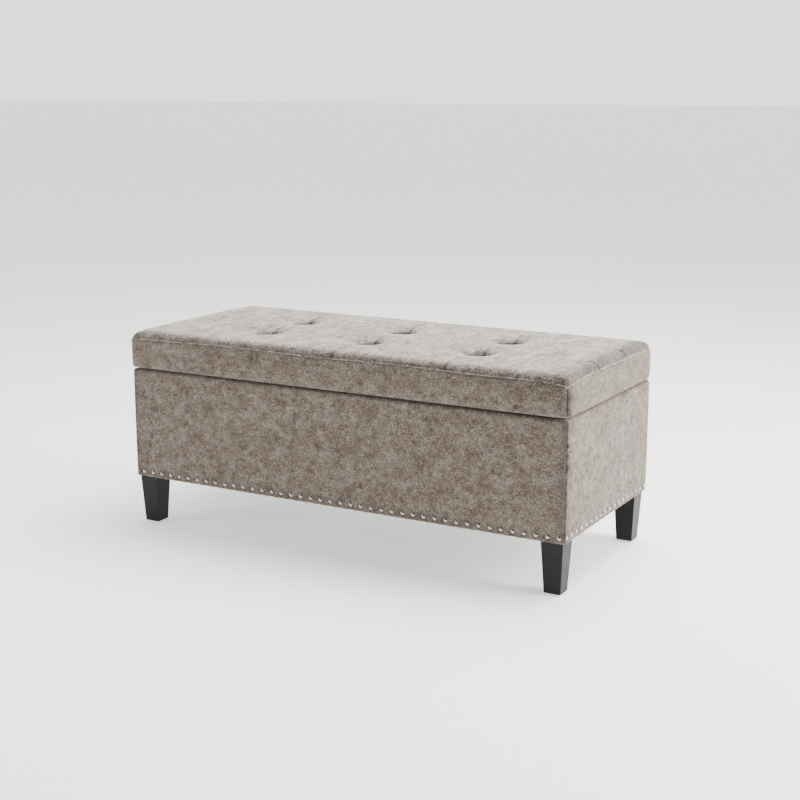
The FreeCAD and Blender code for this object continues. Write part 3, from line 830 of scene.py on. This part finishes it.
# ---------------------------------------------------------------------------------------------
# Tuft buttons: 25 mm metal shells covered in the same velvet. A waxed twine pulls each one down
# into the cushion, and is tied off on a washer under the board.
form = bmesh.new()
for x, y in tufts:
    single = bmesh.new()
    bmesh.ops.create_uvsphere(single, u_segments=32, v_segments=16, radius=button_radius)
    middle = button_low[2] + 2 * MM
    for v in single.verts:
        flat = 0.42 if v.co.z > 0 else 0.15
        v.co = (v.co.x + x, v.co.y + y, middle + v.co.z * flat)
    mesh = bpy.data.meshes.new("button")
    single.to_mesh(mesh)
    single.free()
    form.from_mesh(mesh)
    bpy.data.meshes.remove(mesh)
# Painted shade: the buttons sit deep in their pits, so their whole colour is darkened.
shade = form.verts.layers.float.new("shade")
for v in form.verts:
    v[shade] = 0.45
buttons = new_object("tuft_buttons_covered", form, lid_velvet)
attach(buttons, "lid")
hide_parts("tuft_buttons")


# ---------------------------------------------------------------------------------------------
# Linings: black spunbond polypropylene. One is sewn as an open box inside the storage, and two
# are flat pieces stapled under the lid and the base. All have a turned hem.
def spunbond():
    """Point-bonded fibre sheet: matt black, with a grid of tiny dimples and paler loose fibres."""
    made, tree, shader = new_material("black_spunbond_nonwoven")
    place = node(tree, "ShaderNodeTexCoord").outputs["Object"]
    dimples = node(
        tree, "ShaderNodeTexVoronoi", {"Vector": place, "Scale": 1000 / 2.0, "Randomness": 0.25}
    )
    fibres = node(
        tree,
        "ShaderNodeTexNoise",
        {"Vector": place, "Scale": 1000 / 5, "Detail": 6.0, "Roughness": 0.75},
    )
    ramp = node(tree, "ShaderNodeValToRGB", {"Fac": fibres.outputs["Fac"]})
    ramp.color_ramp.elements[0].position = 0.35
    ramp.color_ramp.elements[0].color = srgb("#1A1918")
    ramp.color_ramp.elements[1].position = 0.72
    ramp.color_ramp.elements[1].color = srgb("#3A3836")
    bump = node(
        tree,
        "ShaderNodeBump",
        {"Height": dimples.outputs["Distance"], "Strength": 0.5, "Distance": 0.3 * MM},
    )
    tree.links.new(ramp.outputs["Color"], shader.inputs["Base Color"])
    tree.links.new(bump.outputs["Normal"], shader.inputs["Normal"])
    shader.inputs["Roughness"].default_value = 0.9
    shader.inputs["Sheen Weight"].default_value = 0.15
    return made


nonwoven = spunbond()
hem_width = 12 * MM
liner_low, liner_high = (Vector(c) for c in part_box("storage_liner"))
form = bmesh.new()
bmesh.ops.create_grid(form, x_segments=90, y_segments=38, size=1)
middle = (liner_low + liner_high) / 2
half = (liner_high - liner_low) / 2 - Vector((0.3, 0.3, 0)) * MM
for v in form.verts:
    slack = 0.5 * MM * noise.noise(Vector((v.co.x * 5, v.co.y * 3, 7)))
    v.co = (middle.x + v.co.x * half.x, middle.y + v.co.y * half.y, liner_low.z + 0.8 * MM + slack)
ring = [e for e in form.edges if e.is_boundary]
rim_top = liner_high.z - 0.2 * MM
levels = [liner_low.z + (rim_top - liner_low.z) * i / 14 for i in range(1, 15)]
fold = [(0.6 * MM, rim_top), (0.7 * MM, rim_top - hem_width)]
for inset, level in [(0, level) for level in levels] + fold:
    made = bmesh.ops.extrude_edge_only(form, edges=ring)["geom"]
    ring = [g for g in made if isinstance(g, bmesh.types.BMEdge) and g.is_boundary]
    for v in {v for e in ring for v in e.verts}:
        slack = 0.25 * MM * noise.noise(Vector((v.co.x * 12, v.co.y * 12, level * 10)))
        v.co.z = level
        if abs(v.co.x - middle.x) > half.x - 1 * MM:
            v.co.x -= math.copysign(inset / 2 + abs(slack), v.co.x)
        if abs(v.co.y - middle.y) > half.y - 1 * MM:
            v.co.y -= math.copysign(inset / 2 + abs(slack), v.co.y)
liner = new_object("storage_liner_cloth", form, nonwoven)
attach(liner, "box")
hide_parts("storage_liner")
depth = liner_high.z - liner_low.z + hem_width
flat = (2 * (half.y + depth), 2 * (half.x + depth))


def flat_lining(node_name, notch, side):
    """A flat lining with a turned hem. notch is cut from its corners, and side is its free face."""
    low, high = (Vector(c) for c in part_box(node_name))
    form = bmesh.new()
    half = (high - low) / 2
    columns = round(half.x / (7 * MM))
    rows = round(half.y / (7 * MM))
    bmesh.ops.create_grid(form, x_segments=2 * columns, y_segments=2 * rows, size=1)
    middle = (low + high) / 2
    for v in form.verts:
        v.co.x = middle.x + v.co.x * half.x
        v.co.y = middle.y + v.co.y * half.y
        edge = min(half.x - abs(v.co.x - middle.x), half.y - abs(v.co.y - middle.y))
        hem = 0.2 * MM if edge < hem_width else 0
        slack = 0.15 * MM * noise.noise(Vector((v.co.x * 9, v.co.y * 9, 3)))
        v.co.z = middle.z + side * (hem + slack)
    gone = []
    for face in form.faces:
        at = face.calc_center_median()
        if half.x - abs(at.x) < notch and half.y - abs(at.y) < notch:
            gone.append(face)
    bmesh.ops.delete(form, geom=gone, context="FACES")
    if side < 0:
        bmesh.ops.reverse_faces(form, faces=form.faces)
    piece = new_object(node_name + "_cloth", form, nonwoven)
    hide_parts(node_name)
    return piece, low, high


def zinc_plate():
    """Zinc plate: cool grey, fine rolling lines, and a cloudy passivated bloom."""
    made, tree, shader = new_material("zinc_plated_steel")
    place = node(tree, "ShaderNodeTexCoord").outputs["Object"]
    bloom = node(tree, "ShaderNodeTexNoise", {"Vector": place, "Scale": 1000 / 12, "Detail": 4.0})
    drawn = node(tree, "ShaderNodeMapping", {"Vector": place, "Scale": (0.05, 1, 1)}).outputs["Vector"]
    lines = node(tree, "ShaderNodeTexNoise", {"Vector": drawn, "Scale": 1000 / 0.8, "Detail": 2.0})
    ramp = node(tree, "ShaderNodeValToRGB", {"Fac": bloom.outputs["Fac"]})
    ramp.color_ramp.elements[0].position = 0.3
    ramp.color_ramp.elements[0].color = srgb("#9C9D9B")
    ramp.color_ramp.elements[1].position = 0.7
    ramp.color_ramp.elements[1].color = srgb("#BEBFBC")
    gloss = node(
        tree,
        "ShaderNodeMapRange",
        {"Value": bloom.outputs["Fac"], "From Min": 0.3, "From Max": 0.7, "To Min": 0.26, "To Max": 0.42},
    )
    bump = node(
        tree, "ShaderNodeBump", {"Height": lines.outputs["Fac"], "Strength": 0.2, "Distance": 0.05 * MM}
    )
    tree.links.new(ramp.outputs["Color"], shader.inputs["Base Color"])
    tree.links.new(gloss.outputs["Result"], shader.inputs["Roughness"])
    tree.links.new(bump.outputs["Normal"], shader.inputs["Normal"])
    shader.inputs["Metallic"].default_value = 1.0
    return made


zinc = zinc_plate()


def staples(name, low, high, notch, level, body):
    """Wire staples through a lining's hem, about 40 mm apart."""
    form = bmesh.new()
    inset = hem_width / 2
    places = []
    for along, across, start, stop in ((0, 1, low[0], high[0]), (1, 0, low[1], high[1])):
        first = start + max(notch, 20 * MM) + 10 * MM
        last = stop - max(notch, 20 * MM) - 10 * MM
        count = round((last - first) / (40 * MM))
        for i in range(count + 1):
            for edge in (low[across] + inset, high[across] - inset):
                place = [0, 0]
                place[along] = first + (last - first) * i / count
                place[across] = edge
                places.append((place, along))
    for place, along in places:
        size = (10 * MM, 1.2 * MM, 0.6 * MM) if along == 0 else (1.2 * MM, 10 * MM, 0.6 * MM)
        made = bmesh.ops.create_cube(form, size=1)["verts"]
        bmesh.ops.scale(form, vec=size, verts=made)
        bmesh.ops.translate(form, vec=(*place, level), verts=made)
    bmesh.ops.bevel(
        form, geom=form.edges[:], offset=0.15 * MM, segments=1, profile=0.5, affect="EDGES", material=-1
    )
    piece = new_object(name, form, zinc)
    piece.data.shade_flat()
    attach(piece, body)
    return piece


lid_lining, low, high = flat_lining("lid_lining", 0, -1)
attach(lid_lining, "lid")
pins = staples("lid_lining_staples", low, high, 0, low.z - 0.05 * MM, "lid")
leg_notch = 56 * MM
dust_cover, low, high = flat_lining("dust_cover", leg_notch, -1)
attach(dust_cover, "box")
pins = staples("dust_cover_staples", low, high, leg_notch, low.z - 0.05 * MM, "box")


# ---------------------------------------------------------------------------------------------
# Frame timber, never seen in use: poplar plywood for the panels and boards, sawn pine for the
# rails, posts and blocks.
def timber(name, pale, dark, figure, grain_step, direction):
    """Raw wood: wide soft figure under fine straight grain, along one direction."""
    made, tree, shader = new_material(name)
    place = node(tree, "ShaderNodeTexCoord").outputs["Object"]
    along = node(tree, "ShaderNodeMapping", {"Vector": place, "Scale": direction}).outputs["Vector"]
    bands = node(
        tree,
        "ShaderNodeTexNoise",
        {"Vector": along, "Scale": 1 / figure, "Detail": 3.0, "Distortion": 0.8},
    )
    grain = node(tree, "ShaderNodeTexNoise", {"Vector": along, "Scale": 1 / grain_step, "Detail": 3.0})
    total = node(
        tree, "ShaderNodeMath", {0: bands.outputs["Fac"], 1: grain.outputs["Fac"]}, operation="ADD"
    )
    ramp = node(tree, "ShaderNodeValToRGB", {"Fac": total.outputs["Value"]})
    ramp.color_ramp.elements[0].position = 0.75
    ramp.color_ramp.elements[0].color = srgb(dark)
    ramp.color_ramp.elements[1].position = 1.0
    ramp.color_ramp.elements[1].color = srgb(pale)
    bump = node(
        tree, "ShaderNodeBump", {"Height": grain.outputs["Fac"], "Strength": 0.4, "Distance": 0.2 * MM}
    )
    tree.links.new(ramp.outputs["Color"], shader.inputs["Base Color"])
    tree.links.new(bump.outputs["Normal"], shader.inputs["Normal"])
    shader.inputs["Roughness"].default_value = 0.75
    return made


def finish(material, *names):
    """Gives CAD nodes a material."""
    for name in names:
        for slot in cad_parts[name].material_slots:
            slot.material = material


# Poplar ply, rotary cut: pale, with a wide wandering figure. Pine, sawn: yellower, with closer rings.
plywood = timber("poplar_plywood", "#D8BD93", "#C09C6C", 24 * MM, 1.5 * MM, (0.05, 1, 1))
pine = timber("sawn_pine", "#DDBB86", "#B98C55", 9 * MM, 1.2 * MM, (0.05, 1, 1))
pine_across = timber("sawn_pine_across", "#DDBB86", "#B98C55", 9 * MM, 1.2 * MM, (1, 0.05, 1))
pine_upright = timber("sawn_pine_upright", "#DDBB86", "#B98C55", 9 * MM, 1.2 * MM, (1, 1, 0.05))
finish(plywood, "front_panel", "back_panel", "left_end_panel", "right_end_panel")
finish(plywood, "bottom_board", "lid_board")
finish(pine, "front_top_rail", "hinge_rail", "front_bottom_rail", "back_bottom_rail")
finish(pine_across, "left_top_rail", "right_top_rail", "end_bottom_rails", "center_stretcher")
finish(pine_upright, "corner_posts", "leg_blocks")


# ---------------------------------------------------------------------------------------------
# Hardware: zinc-plated hinges, folding stays, screws, rivets, bolts and washers; moulded nylon
# glides under the legs; waxed linen twine through the lid; felt bumpers under its rim.
finish(zinc, "leg_tee_nuts", "leg_bolts", "tuft_washers", "hinge_pins", "box_screws", "lid_screws")
finish(zinc, "box_stay_rivets", "lid_stay_rivets")
for side in ("left", "right"):
    finish(zinc, side + "_hinge_box_leaf", side + "_hinge_lid_leaf", side + "_elbow_rivet")
    finish(zinc, side + "_stay_box_bracket", side + "_stay_lid_bracket")
    finish(zinc, side + "_stay_lower_arm", side + "_stay_upper_arm")


def soft_solid(name, pale, dark, step, roughness, relief):
    """A dull material with fine speckled relief, such as nylon, felt or twine."""
    made, tree, shader = new_material(name)
    place = node(tree, "ShaderNodeTexCoord").outputs["Object"]
    speckle = node(
        tree, "ShaderNodeTexNoise", {"Vector": place, "Scale": 1 / step, "Detail": 4.0, "Roughness": 0.7}
    )
    ramp = node(tree, "ShaderNodeValToRGB", {"Fac": speckle.outputs["Fac"]})
    ramp.color_ramp.elements[0].position = 0.35
    ramp.color_ramp.elements[0].color = srgb(dark)
    ramp.color_ramp.elements[1].position = 0.65
    ramp.color_ramp.elements[1].color = srgb(pale)
    bump = node(
        tree, "ShaderNodeBump", {"Height": speckle.outputs["Fac"], "Strength": 0.6, "Distance": relief}
    )
    tree.links.new(ramp.outputs["Color"], shader.inputs["Base Color"])
    tree.links.new(bump.outputs["Normal"], shader.inputs["Normal"])
    shader.inputs["Roughness"].default_value = roughness
    return made


# Nylon is smooth and dull black, felt is grey and hairy, and waxed twine is cream and a little glossy.
nylon = soft_solid("moulded_nylon", "#2B2A28", "#211F1E", 0.8 * MM, 0.45, 0.05 * MM)
felt = soft_solid("pressed_felt", "#4A4744", "#272523", 1.2 * MM, 0.95, 0.5 * MM)
twine = soft_solid("waxed_linen_twine", "#D9CDB2", "#B3A481", 0.9 * MM, 0.6, 0.2 * MM)
finish(nylon, "foot_glides")
finish(twine, "tuft_twines")

bumper_low, bumper_high = (Vector(c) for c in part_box("rim_bumpers"))
bumper_radius = 6 * MM
bumper_rise = bumper_high.z - bumper_low.z
rail_length = 2 * (body_x - 2 * MM)
end_bumper_y = -60 * MM
spots = [(rail_length * i / 5, bumper_low.y + bumper_radius) for i in (-2, -0.7, 0.7, 2)]
spots += [(x, end_bumper_y) for x in (bumper_low.x + bumper_radius, bumper_high.x - bumper_radius)]
form = bmesh.new()
for x, y in spots:
    made = bmesh.ops.create_cone(
        form, cap_ends=True, segments=32, radius1=bumper_radius, radius2=bumper_radius, depth=bumper_rise
    )["verts"]
    bmesh.ops.translate(form, vec=(x, y, bumper_low.z + bumper_rise / 2), verts=made)
rims = [e for e in form.edges if len(e.link_faces) == 2 and e.calc_face_angle() > 1]
bmesh.ops.bevel(form, geom=rims, offset=0.5 * MM, segments=2, profile=0.5, affect="EDGES", material=-1)
bumpers = new_object("rim_bumpers_felt", form, felt)
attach(bumpers, "box")
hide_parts("rim_bumpers")
